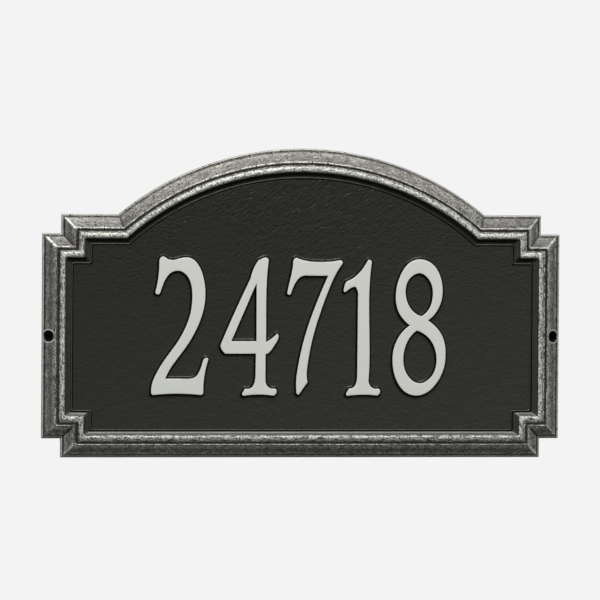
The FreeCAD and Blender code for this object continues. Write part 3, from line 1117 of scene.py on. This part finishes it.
    def dark(self, normal):
        """Black wash, smooth in the cove and brown on the arch, with painted shade: less sheen in
        the groove and cove where they face away from the light, and a dark line beside the inner
        frame.
        """
        # painted shade: the wash in the groove loses sheen where the stretch does not face up
        shaded_groove = self.times(
            self.band(10.6, 10.9, 12.1, 12.4), self.ranged(self.facing, 0.3, -0.1)
        )
        wash = self.surface(
            (0.018, 0.0155, 0.012), 0.4, self.blend(shaded_groove, 0.5, 0.2), normal=normal
        )
        # painted shade: the cove loses sheen where it faces down and to the right
        turned = self.dot(self.coordinates("Normal"), (0.35, 0.0, -0.94))
        cove = self.surface(
            (0.0065, 0.0055, 0.0035), 0.24, self.ranged(turned, 0.1, 0.36, 0.5, 0.1)
        )
        dark = self.mixed(self.ranged(self.inset, 17.6, 18.3), wash, cove)
        # painted shade: a dark line along each foot of the inner frame, on its side away from the
        # light
        lee = self.math("SUBTRACT", self.times(self.facing, 0.87), self.times(self.sideways, 0.5))
        inner_foot = self.band(22.25, 22.6, 23.2, 23.45)
        outer_foot = self.band(20.6, 20.95, 21.7, 21.95)
        painted_shade_line = self.math(
            "ADD", self.times(inner_foot, self.ranged(lee, 0.0, 0.4)),
            self.times(outer_foot, self.ranged(lee, 0.0, -0.4)),
        )
        dark = self.mixed(painted_shade_line, dark, self.surface((0.002, 0.0018, 0.0015), 0.6, 0.05))
        brown = self.times(
            self.ranged(self.noise(self.where, 330.0, 3.0, 0.7), 0.45, 0.65, 0.1, 0.8),
            self.ranged(self.z, 0.095, 0.125, 0.15, 1.0), self.faces_up,
        )
        return self.mixed(brown, dark, self.surface((0.1, 0.052, 0.034), 0.7, normal=normal))


def border_material():
    """Black wash in the hollows and rubbed silver on the edges of the moulded border, with painted
    light and shade set by which way each part faces.
    """
    nodes = BorderNodes("border_metal")
    pits = nodes.pits()
    silver = nodes.times(nodes.section_silver(), nodes.speckle(), nodes.patches(), clamp=True)
    silver = nodes.math("MAXIMUM", nodes.times(silver, pits), nodes.thin_silver_and_highlights())
    normal = nodes.bump(nodes.grain, 0.00025, nodes.blend(nodes.faces_up, 0.8, 0.5))
    normal = nodes.bump(pits, 0.0002, 0.8, normal)
    # the bead is duller where it runs level
    level_run = nodes.ranged(nodes.math("ABSOLUTE", nodes.facing), 0.3, 0.7)
    metallic = nodes.blend(nodes.times(nodes.past_groove, level_run), 1.0, 0.4)
    roughness = nodes.ranged(nodes.ragged, 0.3, 0.7, 0.44, 0.56)
    metal = nodes.surface((0.82, 0.815, 0.755), roughness, metallic=metallic, normal=normal)
    return nodes.finish(nodes.mixed(silver, nodes.dark(normal), metal))


# The casting

def cut_holes(casting):
    """Cuts both screw holes with their pockets out of the casting."""
    cutter = linked("hole_cutter", hole_cutter())
    cutter.data.materials.append(pocket_material())
    cut = casting.modifiers.new("holes", "BOOLEAN")
    cut.object = cutter
    cut.operation = "DIFFERENCE"
    cut.solver = "EXACT"
    cut.material_mode = "TRANSFER"
    evaluated = casting.evaluated_get(bpy.context.evaluated_depsgraph_get())
    finished = bpy.data.meshes.new_from_object(evaluated)
    casting.modifiers.clear()
    casting.data = finished
    bpy.data.objects.remove(cutter)


def keep_in_cad_box(mesh):
    """Brings what stands out of the CAD part's box back to its sides."""
    lowest, highest = (np.array(corner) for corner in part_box("plaque"))
    coordinates = np.zeros(len(mesh.vertices) * 3, np.float32)
    mesh.vertices.foreach_get("co", coordinates)
    clamped = np.clip(coordinates.reshape(-1, 3), lowest, highest)
    mesh.vertices.foreach_set("co", clamped.ravel())
    mesh.update()


casting = linked("plaque_casting", plaque_mesh())
for material in (border_material(), coat_material(), face_material()):
    casting.data.materials.append(material)
cut_holes(casting)
casting.data.shade_smooth()
casting.data.set_sharp_from_angle(angle=math.radians(50))
keep_in_cad_box(casting.data)
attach(casting, "root")
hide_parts("plaque")


# Stage, light and camera

FLOOR_CORNERS = ((-1.0, -0.6), (1.0, -0.6), (1.0, 0.6), (-1.0, 0.6))
FLOOR_PLACE = (0.0, -0.3, -3.0)
CARD_RADIUS = (HOLE_RADIUS + 0.12) * MM
CARD_GAP = 0.15 * MM
CARD_SIDES = 40
KEY_PLACE = Vector((-0.05, -1.0, 1.35))
KEY_AIM = Vector((0.0, 0.0, 0.02))
KEY_SIZE = (1.3, 0.4)
KEY_POWER = 17.0
BACKGROUND = (0.896, 0.896, 0.896, 1.0)
# How bright the studio is from straight below to straight above: (height, shade)
HEIGHT_LIGHT = (
    (0.0, 0.3), (0.05, 0.12), (0.11, 0.05), (0.2, 0.12), (0.3, 0.32), (0.42, 0.36),
    (0.5, 0.84), (0.58, 1.0), (0.7, 0.7), (0.85, 0.28), (1.0, 0.2),
)
# How strong it is from straight in front to straight behind: (depth, strength)
DEPTH_LIGHT = ((0.35, 1.0), (0.75, 0.2), (0.84, 0.2), (0.95, 1.0))
BEHIND = (0.26, 0.966, 0.0)
BACKDROP_DEPTHS = (0.84, 0.95)
LENS = 492.98
CAMERA_PLACE = Vector((-0.8760, -6.2328, 0.2748))
CAMERA_AIM = Vector((-0.0009, 0.0, 0.0276))
CAMERA_ROLL = math.radians(0.42)


def flat_piece(name, points, centre, material):
    """A piece of the stage with a single face."""
    mesh = bpy.data.meshes.new(name)
    mesh.from_pydata(points, [], [range(len(points))])
    mesh.materials.append(material)
    made = linked(name, mesh)
    made.location = centre
    return made


def floor_material():
    nodes = Nodes("pale_floor")
    return nodes.finish(nodes.surface((0.8, 0.8, 0.79), 0.8))


def card_material():
    """Dark from the front and clear from behind, so that it never hides the back."""
    nodes = Nodes("painted_shade_card")
    # painted shade: a dark sheet that stands in for the shade seen through the screw holes
    dark = nodes.surface((0.001, 0.001, 0.001), 0.9, 0.05)
    clear = nodes.add("BsdfTransparent").outputs[0]
    behind = nodes.add("NewGeometry").outputs["Backfacing"]
    return nodes.finish(nodes.mixed(behind, dark, clear))


def key_light():
    """A long soft light above and in front."""
    data = bpy.data.lights.new("key", "AREA")
    data.shape = "RECTANGLE"
    data.size, data.size_y = KEY_SIZE
    data.energy = KEY_POWER
    made = linked("key", data)
    made.location = KEY_PLACE
    made.rotation_euler = (KEY_AIM - KEY_PLACE).to_track_quat("-Z", "Y").to_euler()


def studio_world():
    """Soft light from all round, before a plain pale background."""
    nodes = Nodes("studio", "worlds")
    way = nodes.coordinates("Generated")
    height = nodes.ranged(nodes.parts(way)["Z"], -1.0, 1.0)
    depth = nodes.ranged(nodes.dot(way, BEHIND), -1.0, 1.0)
    around = nodes.add("Background", {
        "Color": nodes.ramp(height, HEIGHT_LIGHT), "Strength": nodes.ramp(depth, DEPTH_LIGHT),
    }).outputs[0]
    background = nodes.add("Background", {"Color": BACKGROUND}).outputs[0]
    # metal and glass show the pale background too, where they look straight behind the plaque
    ray = nodes.add("LightPath").outputs
    bounced = nodes.math("MAXIMUM", ray["Is Glossy Ray"], ray["Is Transmission Ray"])
    bounced = nodes.times(bounced, nodes.ranged(depth, *BACKDROP_DEPTHS))
    shown = nodes.math("MAXIMUM", ray["Is Camera Ray"], bounced)
    return nodes.finish(nodes.mixed(shown, around, background), "World")


def photo_camera():
    """A camera where the photo was taken."""
    data = bpy.data.cameras.new("camera")
    data.lens = LENS
    data.sensor_width = 36.0
    data.clip_start = 0.1
    data.clip_end = 40.0
    made = linked("camera", data)
    made.location = CAMERA_PLACE
    turn = (CAMERA_AIM - CAMERA_PLACE).to_track_quat("-Z", "Y")
    made.rotation_euler = (turn @ Quaternion((0.0, 0.0, 1.0), CAMERA_ROLL)).to_euler()
    return made


floor = flat_piece(
    "floor", [(x, y, 0.0) for x, y in FLOOR_CORNERS], FLOOR_PLACE, floor_material()
)

# A small dark card just behind each screw hole gives it a dark ground: painted shade where the
# real hole is only in shadow
card_ways = [2 * math.pi * step / CARD_SIDES for step in range(CARD_SIDES)]
card_points = [
    (CARD_RADIUS * math.cos(way), 0.0, CARD_RADIUS * math.sin(way)) for way in card_ways
]
painted_shade_card = card_material()
for name, side in (("dark_card_left", -1), ("dark_card_right", 1)):
    card = flat_piece(name, card_points, (side * HOLE_X * MM, CARD_GAP, 0.0), painted_shade_card)

key_light()
bpy.context.scene.world = studio_world()
bpy.context.scene.camera = photo_camera()
bpy.context.scene.view_settings.view_transform = "Standard"
